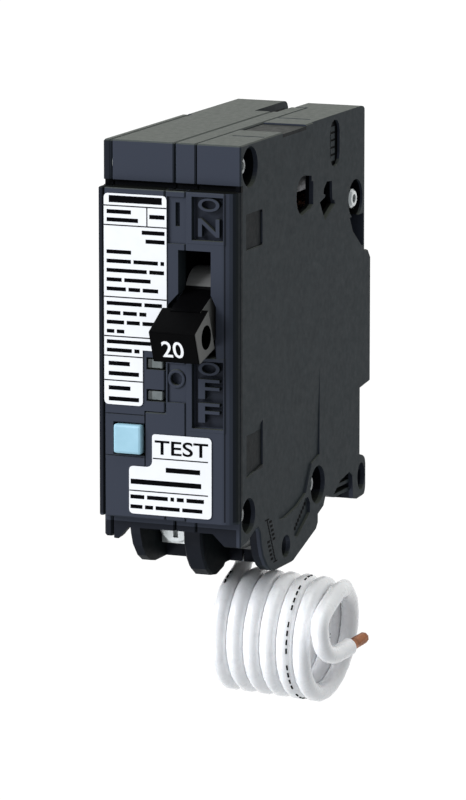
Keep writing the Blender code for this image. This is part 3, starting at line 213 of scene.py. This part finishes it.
class Shader:
    """A Principled material and short names for the nodes that feed it."""

    def __init__(self, name, colour, roughness=0.5, metallic=0.0, **inputs):
        self.material = bpy.data.materials.new(name)
        self.material.use_nodes = True
        self.nodes = self.material.node_tree.nodes
        self.links = self.material.node_tree.links
        self.shader = self.nodes["Principled BSDF"]
        self.set("Base Color", (*colour, 1.0))
        self.set("Roughness", roughness)
        self.set("Metallic", metallic)
        for key, value in inputs.items():
            self.set(key.replace("_", " "), value)
        coordinates = self.nodes.new("ShaderNodeTexCoord").outputs
        self.place, self.normal = coordinates["Object"], coordinates["Normal"]

    def set(self, socket, value):
        self.shader.inputs[socket].default_value = value

    def stretched(self, scale, turn=(0, 0, 0)):
        """The place, scaled per axis, for grain with a direction."""
        mapping = self.nodes.new("ShaderNodeMapping")
        mapping.inputs["Scale"].default_value = scale
        mapping.inputs["Rotation"].default_value = turn
        self.links.new(self.place, mapping.inputs["Vector"])
        return mapping.outputs["Vector"]

    def noise(self, scale, detail=3.0, vector=None):
        node = self.nodes.new("ShaderNodeTexNoise")
        node.inputs["Scale"].default_value = scale
        node.inputs["Detail"].default_value = detail
        node.inputs["Roughness"].default_value = 0.55
        self.links.new(vector or self.place, node.inputs["Vector"])
        return node.outputs["Fac"]

    def ramp(self, factor, stops):
        """Colours or grey levels by factor; stops are (position, colour) pairs."""
        node = self.nodes.new("ShaderNodeValToRGB")
        elements = node.color_ramp.elements
        while len(elements) < len(stops):
            elements.new(0.5)
        for element, (position, colour) in zip(elements, stops):
            element.position = position
            element.color = (*colour, 1.0) if isinstance(colour, tuple) else (colour, colour, colour, 1.0)
        self.links.new(factor, node.inputs["Fac"])
        return node.outputs["Color"]

    def mottle(self, socket, scale, detail, low, high):
        """Feeds an input from cloudy noise; low and high are (position, colour or grey level) pairs."""
        self.feed(socket, self.ramp(self.noise(scale, detail), [low, high]))

    def inside(self, low, high):
        """1 inside a box given by two corners in case coordinates, 0 outside it."""
        low, high = at(*low), at(*high)
        vector = self.place
        steps = (("SUBTRACT", (low + high) / 2), ("DIVIDE", (high - low) / 2), ("ABSOLUTE", None))
        for operation, amount in steps:
            node = self.nodes.new("ShaderNodeVectorMath")
            node.operation = operation
            self.links.new(vector, node.inputs[0])
            if amount:
                node.inputs[1].default_value = amount
            vector = node.outputs["Vector"]
        split = self.nodes.new("ShaderNodeSeparateXYZ")
        self.links.new(vector, split.inputs["Vector"])
        across = self.math("MAXIMUM", split.outputs["X"], split.outputs["Y"])
        return self.math("LESS_THAN", self.math("MAXIMUM", across, split.outputs["Z"]), 1.0)

    def math(self, operation, first, second):
        node = self.nodes.new("ShaderNodeMath")
        node.operation = operation
        for socket, value in zip(node.inputs, (first, second)):
            if isinstance(value, float):
                socket.default_value = value
            else:
                self.links.new(value, socket)
        return node.outputs["Value"]

    def facing(self, axis, none, full):
        """0 to 1 as the surface turns to face along an axis of the object, between two slopes."""
        split = self.nodes.new("ShaderNodeSeparateXYZ")
        self.links.new(self.normal, split.inputs["Vector"])
        node = self.nodes.new("ShaderNodeMapRange")
        node.inputs["From Min"].default_value = none
        node.inputs["From Max"].default_value = full
        self.links.new(split.outputs[axis], node.inputs["Value"])
        return node.outputs["Result"]

    def tint(self, factor, colour, mode="MIX"):
        """Changes the base colour where the factor is 1."""
        node = self.nodes.new("ShaderNodeMix")
        node.data_type = "RGBA"
        node.blend_type = mode
        sockets = [socket for socket in node.inputs if socket.type == "RGBA"]
        self.links.new(factor, node.inputs["Factor"])
        self.links.new(self.shader.inputs["Base Color"].links[0].from_socket, sockets[0])
        sockets[1].default_value = (*colour, 1.0)
        self.feed("Base Color", next(socket for socket in node.outputs if socket.type == "RGBA"))

    def feed(self, socket, output):
        self.links.new(output, self.shader.inputs[socket])

    def bump(self, height, strength, depth):
        """Adds relief, on top of any relief the material already has."""
        node = self.nodes.new("ShaderNodeBump")
        node.inputs["Strength"].default_value = strength
        node.inputs["Distance"].default_value = depth
        self.links.new(height, node.inputs["Height"])
        earlier = self.shader.inputs["Normal"].links
        if earlier:
            self.links.new(earlier[0].from_socket, node.inputs["Normal"])
        self.feed("Normal", node.outputs["Normal"])


def glowing_sheet():
    look = Shader("glowing_sheet", (0.02, 0.02, 0.02), 0.9)
    look.set("Emission Color", (1.0, 1.0, 1.0, 1.0))
    look.set("Emission Strength", 1.02)
    return look.material


def moulded(name, dark, light, roughness, grain=0.25):
    """Matt moulded plastic: cloudy tone, spark-eroded grain and faint flow marks."""
    look = Shader(name, light, roughness, Specular_IOR_Level=0.4)
    look.mottle("Base Color", 260, 4, (0.3, dark), (0.7, light))
    add_grain(look, roughness, grain)
    return look.material


def case_plastic():
    """The case's charcoal plastic, with painted light: bluer on faces toward the front and paler on faces
    toward the top; and painted shade in the zones listed above.
    """
    look = Shader("case_charcoal", CHARCOAL, 0.5, Specular_IOR_Level=0.045)
    dark = tuple(c * 0.88 for c in CHARCOAL)
    look.mottle("Base Color", 260, 4, (0.3, dark), (0.7, CHARCOAL))
    # Painted light: a bluer colour on faces toward the front, a paler one on faces toward the top
    look.tint(look.facing("Y", -0.4, -0.9), FRONT_LIT_CHARCOAL)
    look.tint(look.facing("Z", 0.4, 0.9), TOP_LIT_CHARCOAL)
    # Painted shade, and the darker strip and pad, multiplied into the colour zone by zone
    for low, high, shade in PAINTED_SHADE_AND_DARK_ZONES:
        look.tint(look.inside(low, high), (shade, shade, shade), "MULTIPLY")
    add_grain(look, 0.5, 0.25)
    return look.material


def handle_plastic():
    """Near-black plastic, with a painted sheen on the paddle's side faces toward +X and a painted lit band on
    the drum.
    """
    look = Shader("handle_black", BLACK, 0.4, Specular_IOR_Level=0.02)
    dark = tuple(c * 0.7 for c in BLACK)
    look.mottle("Base Color", 260, 4, (0.3, dark), (0.7, BLACK))
    # Painted sheen on faces toward +X, and a painted lit band on the drum
    look.tint(look.facing("X", 0.75, 0.95), PAINTED_SHEEN_GREY)
    look.tint(look.inside(*LIT_DRUM), PAINTED_SHEEN_GREY)
    add_grain(look, 0.4, 0.15)
    return look.material


def add_grain(look, roughness, grain):
    look.mottle("Roughness", 900, 3, (0.25, roughness - 0.07), (0.75, roughness + 0.08))
    look.bump(look.noise(9000, 2), grain, 0.00004)
    look.bump(look.noise(420, 3, vector=look.stretched((1, 1, 0.35))), 0.06, 0.0002)


def printed_film(name, colour):
    look = Shader(name, colour, 0.38, Specular_IOR_Level=0.5)
    pale = tuple(c * 0.965 for c in colour)
    look.mottle("Base Color", 500, 3, (0.3, pale), (0.7, colour))
    look.bump(look.noise(3500, 2), 0.05, 0.00003)
    return look.material


def ink(name, colour, wear):
    look = Shader(name, colour, 0.5, Specular_IOR_Level=0.01)
    worn = tuple(max(0.001, c - wear) for c in colour)
    look.mottle("Base Color", 6000, 2, (0.35, colour), (0.75, worn))
    look.bump(look.noise(8000, 2), 0.08, 0.00002)
    return look.material


def plated(name, colour, roughness, metallic=1.0):
    """Zinc or nickel plate: bright, with fine scratches and dull patches."""
    look = Shader(name, colour, roughness, metallic)
    dull = tuple(c * 0.88 for c in colour)
    look.mottle("Base Color", 1300, 4, (0.3, dull), (0.65, colour))
    look.mottle("Roughness", 2600, 4, (0.3, roughness - 0.08), (0.7, roughness + 0.12))
    look.bump(look.noise(5200, 3, vector=look.stretched((1, 1, 0.15))), 0.06, 0.00003)
    return look


def zinc_plate():
    """Bright zinc, with painted shade where it lies deep inside the case."""
    look = plated("zinc_plate", (0.66, 0.69, 0.69), 0.36, 0.7)
    # Painted shade on the rivets and screws that lie deep inside
    for low, high in PAINTED_SHADE_ON_METAL:
        look.tint(look.inside(low, high), (0.1, 0.1, 0.1), "MULTIPLY")
    return look.material


def stamped(name, colour, roughness=0.35, metallic=1.0):
    """Strip metal with its rolling lines and a little tarnish."""
    look = Shader(name, colour, roughness, metallic)
    tarnish = tuple(c * 0.62 for c in colour)
    look.mottle("Base Color", 700, 5, (0.32, tarnish), (0.6, colour))
    look.mottle("Roughness", 1800, 3, (0.3, roughness - 0.1), (0.7, roughness + 0.12))
    look.bump(look.noise(2400, 4, vector=look.stretched((1, 0.05, 1))), 0.15, 0.00005)
    return look.material


def enamel_winding(name):
    look = Shader(name, (0.42, 0.17, 0.05), 0.32, 0.6, Coat_Weight=0.5)
    wave = look.nodes.new("ShaderNodeTexWave")
    wave.inputs["Scale"].default_value = 1400
    wave.inputs["Distortion"].default_value = 0.4
    wave.bands_direction = "Y"
    look.links.new(look.place, wave.inputs["Vector"])
    # Painted shade: the wave's dark bands stand for the shade in the gaps between the winding's turns
    gap, enamel = (0.13, 0.045, 0.015), (0.50, 0.21, 0.07)
    look.feed("Base Color", look.ramp(wave.outputs["Fac"], [(0.1, gap), (0.6, enamel)]))
    look.bump(wave.outputs["Fac"], 0.6, 0.00012)
    return look.material


def circuit_laminate():
    look = Shader("circuit_laminate", (0.02, 0.16, 0.06), 0.35, Coat_Weight=0.3)
    cells = look.nodes.new("ShaderNodeTexBrick")
    cells.inputs["Scale"].default_value = 210
    cells.inputs["Color1"].default_value = (0.015, 0.13, 0.05, 1)
    cells.inputs["Color2"].default_value = (0.02, 0.17, 0.07, 1)
    cells.inputs["Mortar"].default_value = (0.06, 0.27, 0.12, 1)
    look.links.new(look.stretched((0.3, 1, 1), (0, pi / 2, 0)), cells.inputs["Vector"])
    look.feed("Base Color", cells.outputs["Color"])
    look.bump(look.noise(5000), 0.1, 0.00003)
    return look.material


def clear_pipe():
    """Smoky clear plastic, darker at its left end."""
    look = Shader("light_pipe", (0.16, 0.18, 0.18), 0.22, Transmission_Weight=0.15, IOR=1.49)
    look.mottle("Base Color", 900, 3, (0.3, (0.13, 0.15, 0.15)), (0.7, (0.19, 0.21, 0.21)))
    look.tint(look.inside(*PIPE_ENDS), (0.35, 0.35, 0.35), "MULTIPLY")
    look.bump(look.noise(1500), 0.1, 0.00005)
    return look.material


def wire_insulation():
    """Glossy white insulation with the faint waves of extrusion."""
    look = Shader("wire_insulation", (0.86, 0.87, 0.89), 0.28, Subsurface_Weight=0.15, Coat_Weight=0.25)
    look.set("Subsurface Radius", (0.0012, 0.0010, 0.0009))
    look.mottle("Base Color", 240, 4, (0.3, (0.90, 0.905, 0.92)), (0.7, (0.95, 0.952, 0.96)))
    look.mottle("Roughness", 700, 3, (0.3, 0.22), (0.7, 0.38))
    look.bump(look.noise(1100, 2), 0.05, 0.0001)
    return look.material


def make_looks():
    return {
        "case": case_plastic(),
        "handle": handle_plastic(),
        "label": printed_film("label_film", (0.83, 0.84, 0.86)),
        "black_ink": ink("black_ink", (0.003, 0.003, 0.004), 0.003),
        "white_ink": ink("white_ink", (0.95, 0.95, 0.96), 0.04),
        "button": moulded("button_blue", (0.30, 0.52, 0.63), (0.35, 0.58, 0.70), 0.38, 0.1),
        "pipe": clear_pipe(),
        "zinc": zinc_plate(),
        "steel": stamped("stamped_steel", (0.46, 0.47, 0.49)),
        "copper": stamped("copper_strip", (0.72, 0.33, 0.19), 0.3),
        "tip": stamped("bare_copper", (0.36, 0.14, 0.06), 0.42, 0.75),
        "silver": plated("silver_contact", (0.84, 0.84, 0.82), 0.2).material,
        "board": circuit_laminate(),
        "chip": moulded("chip_epoxy", (0.010, 0.010, 0.011), (0.018, 0.018, 0.019), 0.5),
        "ceramic": moulded("varistor_coating", (0.03, 0.10, 0.32), (0.05, 0.14, 0.40), 0.3, 0.1),
        "winding": enamel_winding("enamelled_winding"),
        "wire": wire_insulation(),
        "spring": plated("spring_wire", (0.55, 0.56, 0.58), 0.3).material,
    }


NODE_LOOKS = {
    "case": ["left_cover", "electronics_case", "mechanism_base", "mechanism_cover"],
    "handle": ["handle"],
    "label": ["rating_label", "test_label"],
    "button": ["test_button"],
    "pipe": ["arc_fault_window", "ground_fault_window", "arc_fault_lamp", "ground_fault_lamp"],
    "zinc": [
        "front_top_rivet", "rear_top_rivet", "front_bottom_rivet", "rear_bottom_rivet",
        "left_terminal_screw", "right_terminal_screw", "left_clamp_plate", "right_clamp_plate",
    ],
    "steel": [
        "arc_chute", "trip_lever", "trip_lever_pin", "magnet_yoke", "armature", "calibration_screw",
        "solenoid_plunger",
    ],
    "copper": [
        "contact_arm", "line_terminal", "line_jaw", "bimetal", "contact_braid", "neutral_strap", "load_strap",
        "test_contact",
    ],
    "silver": ["moving_contact", "fixed_contact"],
    "board": ["circuit_board"],
    "chip": ["processor_chip", "filter_capacitor"],
    "ceramic": ["varistor"],
    "winding": ["current_transformer", "trip_solenoid"],
}


def paint_nodes():
    for look, names in NODE_LOOKS.items():
        for name in names:
            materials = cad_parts[name].data.materials
            materials.clear()
            materials.append(LOOKS[look])


# ---------------------------------------------------------------- piece helpers

def piece(name, data, look, body="case"):
    obj = bpy.data.objects.new(name, data)
    bpy.context.scene.collection.objects.link(obj)
    data.materials.append(LOOKS[look])
    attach(obj, body)
    return obj


def curve_data(routes, radius, resolution):
    """Round wires of one thickness, each through its points in metres."""
    data = bpy.data.curves.new("wire", "CURVE")
    data.dimensions = "3D"
    data.bevel_depth = radius
    data.bevel_resolution = resolution
    data.use_fill_caps = True
    for points in routes:
        spline = data.splines.new("POLY")
        spline.points.add(len(points) - 1)
        for point, place in zip(spline.points, points):
            point.co = (*place, 1)
        spline.use_smooth = True
    return data


def mesh_of(data, name):
    """The mesh that a curve or a text becomes."""
    holder = bpy.data.objects.new(name, data)
    bpy.context.scene.collection.objects.link(holder)
    mesh = bpy.data.meshes.new_from_object(holder.evaluated_get(bpy.context.evaluated_depsgraph_get()))
    bpy.data.objects.remove(holder)
    return mesh


def smooth_route(points, steps):
    """Points of a smooth curve through the route's points (a Catmull-Rom spline)."""
    nodes = [Vector(p) for p in points]
    nodes = [nodes[0] * 2 - nodes[1], *nodes, nodes[-1] * 2 - nodes[-2]]
    route = []
    for a, b, c, d in zip(nodes, nodes[1:], nodes[2:], nodes[3:]):
        for i in range(steps):
            t = i / steps
            bend = (2 * a - 5 * b + 4 * c - d) * t * t + (3 * b - a - 3 * c + d) * t ** 3
            route.append(0.5 * (2 * b + (c - a) * t + bend))
    return route + [nodes[-2]]


# ---------------------------------------------------------------- neutral wire

def coil_point(turn):
    """Centre of the wire at a turn of the coil; turn 0 is the front of the first one."""
    angle = 2 * pi * turn
    y = COIL_CENTRE[0] - COIL_RADIUS * cos(angle)
    drop = -COIL_RADIUS * sin(angle)
    x = COIL_START + COIL_PITCH * turn + COIL_LEAN * drop
    return Vector((x, y, COIL_CENTRE[1] + drop + COIL_DROP * turn))


def wire_route():
    """The wire's centre from inside the case to the end of its insulation, in case coordinates."""
    count = round(COIL_TURNS * POINTS_PER_TURN)
    coil = [coil_point(FIRST_TURN + i / POINTS_PER_TURN) for i in range(count)]
    return smooth_route([*LEAD_IN, *coil[::2]], 2) + smooth_route([coil[-1], *CURLED_END], 6)[1:]


def make_neutral_wire():
    route = [at(*p) for p in wire_route()]
    wire = piece("neutral_wire", curve_data([route], WIRE / 2 * MM, 8), "wire")
    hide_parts("pigtail_lead", "pigtail_coil", "pigtail_tail")
    tip = make_bare_end(route[-1], (route[-1] - route[-4]).normalized())


def make_bare_end(start, direction):
    """A bundle of copper strands with a light twist, its end rounded over."""
    side = direction.orthogonal().normalized()
    other = direction.cross(side)
    around, rings = 54, 16
    dome, flute_depth, twist, hidden = 0.7, 0.07, 0.12, 0.4
    bm = bmesh.new()
    rows = []
    for i in range(rings + 1):
        along = BARE_LENGTH * i / rings
        closing = max(0.0, along - BARE_LENGTH + dome) / dome
        radius = COPPER / 2 * (1 - 0.85 * closing ** 3)
        row = []
        for j in range(around):
            angle = 2 * pi * j / around
            flute = 1 - flute_depth * abs(sin((angle + twist * along) * STRANDS / 2 + pi / 2))
            offset = (side * cos(angle) + other * sin(angle)) * radius * flute
            row.append(bm.verts.new(start + (direction * (along - hidden) + offset) * MM))
        rows.append(row)
    for row, after in zip(rows, rows[1:]):
        for j in range(around):
            bm.faces.new((row[j - 1], row[j], after[j], after[j - 1]))
    bm.faces.new(rows[-1])
    bm.faces.new(reversed(rows[0]))
    tip = piece("bare_strands", finished(bm, "strands", smooth=True), "tip")
    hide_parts("pigtail_bare_tip")
    return tip


def make_wire_print():
    """Rows of short dashes printed along the insulation."""
    dashes = []
    for first, last, lean in WIRE_PRINT:
        count = round((last - first) * DASHES_PER_TURN)
        for i in range(count):
            if i % DASHES_PER_WORD == 3:
                continue
            turns = [first + (last - first) * (i + part) / count for part in (0.0, 0.3, 0.6)]
            dashes.append([at(*printed_point(turn, lean)) for turn in turns])
    piece("wire_print", curve_data(dashes, DASH_WIDTH / 2 * MM, 2), "black_ink")


def printed_point(turn, lean):
    """A point just inside the insulation's surface, on the side that leans from the coil's outside to +X."""
    centre = coil_point(turn)
    outward = Vector((0, centre.y - COIL_CENTRE[0], centre.z - COIL_CENTRE[1])).normalized()
    return centre + (outward * cos(lean) + Vector((1, 0, 0)) * sin(lean)) * (WIRE / 2 - 0.1)


# ---------------------------------------------------------------- legends, labels and marks

def text_mesh(text, low, high, near, far):
    """Letters that fill the box from low to high, as (x, z), between two depths along Y."""
    curve = bpy.data.curves.new(text, "FONT")
    curve.body = text
    curve.extrude = 0.5
    curve.offset = 0.012
    mesh = mesh_of(curve, text)
    across = [v.co.x for v in mesh.vertices]
    up = [v.co.y for v in mesh.vertices]
    wide = (high[0] - low[0]) / (max(across) - min(across))
    tall = (high[1] - low[1]) / (max(up) - min(up))
    for vertex in mesh.vertices:
        x, y, z = vertex.co
        depth = near + (far - near) * (0.5 - z)
        vertex.co = (low[0] + (x - min(across)) * wide, depth, low[1] + (y - min(up)) * tall)
    return mesh


def moved(mesh, matrix):
    mesh.transform(matrix)
    return mesh


def case_to_row():
    return Matrix.Scale(MM, 4) @ Matrix.Translation(-ORIGIN)


def joined(meshes, name):
    bm = bmesh.new()
    for mesh in meshes:
        bm.from_mesh(mesh)
        bpy.data.meshes.remove(mesh)
    return finished(bm, name)


def finished(bm, name, smooth=False):
    bmesh.ops.recalc_face_normals(bm, faces=bm.faces)
    mesh = bpy.data.meshes.new(name)
    bm.to_mesh(mesh)
    bm.free()
    if smooth:
        mesh.shade_smooth()
        mesh.set_sharp_from_angle(angle=radians(40))
    return mesh


def make_legends():
    """ON and OFF, raised from the floors of their pockets, one letter above the other."""
    words = {
        "legend_on": [("O", -11.15, -8.9), ("N", -15.5, -12.4)],
        "legend_off": [("O", -39.3, -37.05), ("F", -43.4, -40.0), ("F", -47.5, -44.1)],
    }
    for name, letters in words.items():
        meshes = []
        for letter, bottom, top in letters:
            low, high = (LEGEND_LEFT, bottom), (LEGEND_RIGHT, top)
            meshes.append(text_mesh(letter, low, high, LEGEND_FACE, POCKET_FLOOR))
        legend = piece(name, moved(joined(meshes, name), case_to_row()), "case")
        soften(legend, 0.12)


def soften(obj, width):
    bevel = obj.modifiers.new("soft_edges", "BEVEL")
    bevel.width = width * MM
    bevel.segments = 2
    bevel.limit_method = "ANGLE"
    bevel.angle_limit = radians(50)


def make_rating():
    """The rating on the handle's end face."""
    mesh = text_mesh("20", (15.25, -1.85), (19.2, 1.3), -HANDLE_REACH - INK, -HANDLE_REACH + 0.1)
    turn = Matrix.Translation((0, *PIVOT)) @ Matrix.Rotation(radians(HANDLE_TILT), 4, "X")
    piece("handle_rating", moved(mesh, case_to_row() @ turn), "white_ink", "handle")


def slabs(name, boxes, look):
    """Small blocks, each from its lowest to its highest corner in case coordinates."""
    bm = bmesh.new()
    for low, high in boxes:
        size = [b - a for a, b in zip(low, high)]
        middle = [(a + b) / 2 for a, b in zip(low, high)]
        bmesh.ops.create_cube(bm, matrix=Matrix.Translation(middle) @ Matrix.Diagonal((*size, 1)))
    piece(name, moved(finished(bm, name), case_to_row()), look)


def printed(left, bottom, right, top):
    return (left, LABEL_FACE - INK, bottom), (right, LABEL_FACE + 0.05, top)


def word_bars(left, right, top, bottom, words):
    """Plain bars that stand for a line's words; words holds their relative lengths."""
    inset = (top - bottom) * 0.2
    gap = (top - bottom) * 0.45
    unit = (right - left - gap * (len(words) - 1)) / sum(words)
    bars = []
    for word in words:
        bars.append(printed(left, bottom + inset, left + word * unit, top - inset))
        left += word * unit + gap
    return bars


def rule(left, right, level):
    return printed(left, level - RULE / 2, right, level + RULE / 2)


def make_rating_print():
    edge, right, inner = 1.17, 12.73, 8.28
    lines = [
        (1.7, 6.2, -11.45, -12.6, (1,)), (1.7, 7.5, -12.85, -14.0, (1,)), (9.6, 12.4, -12.0, -13.2, (1,)),
        (8.2, 12.4, -14.8, -15.95, (1,)), (8.9, 12.4, -16.3, -17.45, (1,)), (1.65, 6.2, -18.4, -19.5, (1,)),
        (1.65, 12.3, -20.0, -21.1, (7, 7, 1)), (1.65, 12.3, -21.6, -22.7, (11, 4)),
        (1.65, 9.8, -23.2, -24.3, (4, 7)), (1.65, 11.2, -24.8, -25.9, (5, 3, 4)),
        (1.65, 11.9, -27.3, -28.4, (12, 6)), (1.65, 9.0, -28.95, -30.05, (4, 4, 2)),
        (1.65, 11.5, -30.55, -31.65, (4, 3, 4)), (1.65, 4.9, -32.15, -33.2, (2, 2)),
        (1.65, 9.8, -33.95, -35.05, (10,)), (1.65, 7.7, -35.4, -36.5, (5, 1)),
        (1.97, 5.9, -37.65, -38.85, (1,)), (1.97, 7.6, -39.4, -40.6, (1,)),
        (1.97, 6.0, -41.9, -43.1, (1,)), (1.97, 7.6, -43.8, -45.0, (1,)),
    ]
    bars = [printed(2.1, -10.45, 11.9, -9.25)]
    for left, end, top, bottom, words in lines:
        bars += word_bars(left, end, top, bottom, words)
    bars += [rule(edge, right, level) for level in (-11.0, -14.35, -26.75, -33.55)]
    bars += [rule(edge, inner, level) for level in (-36.95, -41.2)]
    bars.append(printed(9.05, -14.35, 9.05 + RULE, -11.0))
    slabs("rating_print", bars, "black_ink")


def make_test_print():
    bars = [rule(10.15, 20.35, -54.3), rule(5.75, 20.35, -60.15)]
    for left, right, top, bottom, words in (
        (12.55, 18.9, -55.5, -56.9, (1,)), (6.0, 19.1, -57.85, -59.3, (1,)),
        (5.95, 19.6, -60.65, -61.8, (4, 6, 1, 2, 5)), (5.95, 19.3, -62.4, -63.5, (3, 2, 6, 5)),
    ):
        bars += word_bars(left, right, top, bottom, words)
    slabs("test_print", bars, "black_ink")
    word = text_mesh("TEST", (10.5, -53.6), (20.4, -51.1), LABEL_FACE - INK, LABEL_FACE + 0.05)
    piece("test_word", moved(word, case_to_row()), "black_ink")


def make_dimple_ring(steps=40):
    """Raised ring round the dimple in the front strip."""
    floor, top = -1.8, -2.12
    profile = [(1.05, floor), (1.1, top + 0.08), (1.22, top), (1.5, top), (1.62, top + 0.08), (1.7, floor)]
    bm = bmesh.new()
    rows = []
    for i in range(steps):
        angle = 2 * pi * i / steps
        rows.append([
            bm.verts.new((DIMPLE[0] + radius * cos(angle), y, DIMPLE[1] + radius * sin(angle)))
            for radius, y in profile
        ])
    for i in range(steps):
        for j in range(len(profile)):
            bm.faces.new((rows[i - 1][j - 1], rows[i - 1][j], rows[i][j], rows[i][j - 1]))
    ring = finished(bm, "dimple_ring", smooth=True)
    piece("dimple_ring", moved(ring, case_to_row()), "case")


def pad_bar(y, z, height=0.9, width=2.0):
    """A raised bar on the oblong pad's floor, centred on (y, z)."""
    low = (PAD_FLOOR - 0.05, y - width / 2, z - height / 2)
    high = (PAD_FLOOR + 0.22, y + width / 2, z + height / 2)
    return low, high


def side_dashes(start, end, count, floor, half_width, half_height):
    """Printed dashes in a row from start to end, as (y, z), on the side face or on a recess's floor."""
    dashes = []
    for i in range(count):
        y, z = (a + (b - a) * (i + 0.5) / count for a, b in zip(start, end))
        low = (floor - 0.1, y - half_width, z - half_height)
        high = (floor + INK, y + half_width, z + half_height)
        dashes.append((low, high))
    return dashes


def make_side_marks():
    """Plain bars in the oblong pad, and the strip gauge on the ear with dashes for its print."""
    bars = [pad_bar(44.5, z) for z in (-2.6, -3.9, -5.2, -6.5, -7.8)]
    slabs("pad_bars", bars, "case")
    gauge = side_dashes(*GAUGE, 14, SIDE_FACE, 0.2, 0.31)
    for end in GAUGE:
        gauge += side_dashes(end, end, 1, SIDE_FACE, 0.9, 0.12)
    for row in GAUGE_PRINT:
        gauge += side_dashes(*row, 5, SIDE_FACE, 0.55, 0.22)
    gauge += side_dashes(*EAR_POCKET_PRINT, 7, EAR_POCKET_FLOOR, 0.4, 0.3)
    slabs("strip_gauge", gauge, "black_ink")


# ---------------------------------------------------------------- springs

def helix(start, end, radius, turns, steps=14):
    """Points of a coil spring between two points in case coordinates."""
    start, end = Vector(start), Vector(end)
    along = (end - start).normalized()
    side = along.orthogonal().normalized()
    other = along.cross(side)
    count = round(turns * steps)
    points = []
    for i in range(count + 1):
        angle = 2 * pi * i / steps
        points.append(start + (end - start) * i / count + (side * cos(angle) + other * sin(angle)) * radius)
    return [at(*p) for p in points]


def make_springs():
    button = ((5.6, 4.45, -51.25), (5.6, 9.55, -51.25))
    make_spring("toggle_spring", TOGGLE_SPRING, 0.82, 12, 0.17)
    pressed = make_spring("button_spring", button, 1.7, 6, 0.13)
    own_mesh(pressed)
    make_spring("plunger_spring", PLUNGER_SPRING, 1.9, 5, 0.13)


def make_spring(name, ends, radius, turns, thickness):
    """A coil spring between two points in case coordinates, in place of the plain one."""
    mesh = mesh_of(curve_data([helix(*ends, radius, turns)], thickness * MM, 3), name)
    mesh.shade_smooth()
    spring = piece(name + "_coil", mesh, "spring")
    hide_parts(name)
    return spring


make_camera()
LOOKS = make_looks()
make_neutral_wire()
make_wire_print()
make_legends()
make_rating()
make_rating_print()
make_test_print()
make_dimple_ring()
make_side_marks()
make_springs()
paint_nodes()
make_studio()
